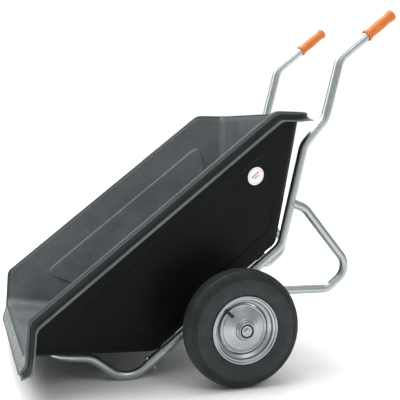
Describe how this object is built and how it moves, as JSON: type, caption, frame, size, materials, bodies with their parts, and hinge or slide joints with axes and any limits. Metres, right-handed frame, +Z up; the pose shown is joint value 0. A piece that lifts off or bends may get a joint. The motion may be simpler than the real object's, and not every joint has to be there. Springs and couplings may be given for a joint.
{
  "type": "wheelbarrow",
  "caption": "Two-wheeled barrow with a large moulded tub on a bent tube frame, tipped forward on its nose loop to empty.",
  "frame": {"origin": "on the ground midway between the two wheels, straight under the axle", "axes": "+Z up, +X forward towards the tipped nose, +Y to the left of whoever pushes it"},
  "size_m": [1.3993, 1.0228, 1.2993],
  "materials": {
    "tub_plastic": "moulded polyethylene, satin, dark slate grey",
    "label": "printed round sticker, gloss",
    "tyre_rubber": "ribbed tyre rubber",
    "black_rubber": "smooth rubber",
    "black_plastic": "black plastic",
    "grip_orange": "soft orange handle grip",
    "wheel_silver": "silver sprayed pressed steel",
    "galvanised": "bright galvanised tube",
    "zinc": "zinc plated fastener",
    "bright_steel": "ground steel"
  },
  "bodies": {
    "frame": {"axle": "bright_steel", "axle_bolt_left": "zinc", "axle_bolt_right": "zinc", "axle_bracket_left": "galvanised", "axle_bracket_right": "galvanised", "axle_spacer_left": "bright_steel", "axle_spacer_right": "bright_steel", "axle_washer_left": "zinc", "axle_washer_right": "zinc", "cross_member_front": "galvanised", "cross_member_rear": "galvanised", "grip_left": "grip_orange", "grip_right": "grip_orange", "hub_spacer_left": "bright_steel", "hub_spacer_right": "bright_steel", "inner_races_left": "bright_steel", "inner_races_right": "bright_steel", "leg_tube_left": "galvanised", "leg_tube_right": "galvanised", "main_tube_left": "galvanised", "main_tube_right": "galvanised", "nose_bolts": "zinc", "nose_nuts": "zinc", "nose_sleeve_left": "galvanised", "nose_sleeve_right": "galvanised", "nose_tube": "galvanised", "tub": "tub_plastic", "tub_bolts": "zinc", "tub_label": "label", "tub_nuts": "zinc", "tub_washers": "zinc"},
    "wheel_left": {"tyre_left": "tyre_rubber", "air_tube_left": "black_rubber", "rim_left": "wheel_silver", "wheel_disc_left": "wheel_silver", "hub_left": "wheel_silver", "outer_races_left": "bright_steel", "bearing_balls_left": "bright_steel", "dust_ring_left": "black_plastic", "valve_stem_left": "black_rubber", "valve_cap_left": "black_plastic"},
    "wheel_right": {"tyre_right": "tyre_rubber", "air_tube_right": "black_rubber", "rim_right": "wheel_silver", "wheel_disc_right": "wheel_silver", "hub_right": "wheel_silver", "outer_races_right": "bright_steel", "bearing_balls_right": "bright_steel", "dust_ring_right": "black_plastic", "valve_stem_right": "black_rubber", "valve_cap_right": "black_plastic"}
  },
  "joints": [
    {"name": "wheel_spin_left", "type": "hinge", "parent": "frame", "child": "wheel_left", "pos_m": [0, 0.452, 0.2], "axis": [0, 1, 0], "continuous": true},
    {"name": "wheel_spin_right", "type": "hinge", "parent": "frame", "child": "wheel_right", "pos_m": [0, -0.452, 0.2], "axis": [0, 1, 0], "continuous": true}
  ]
}
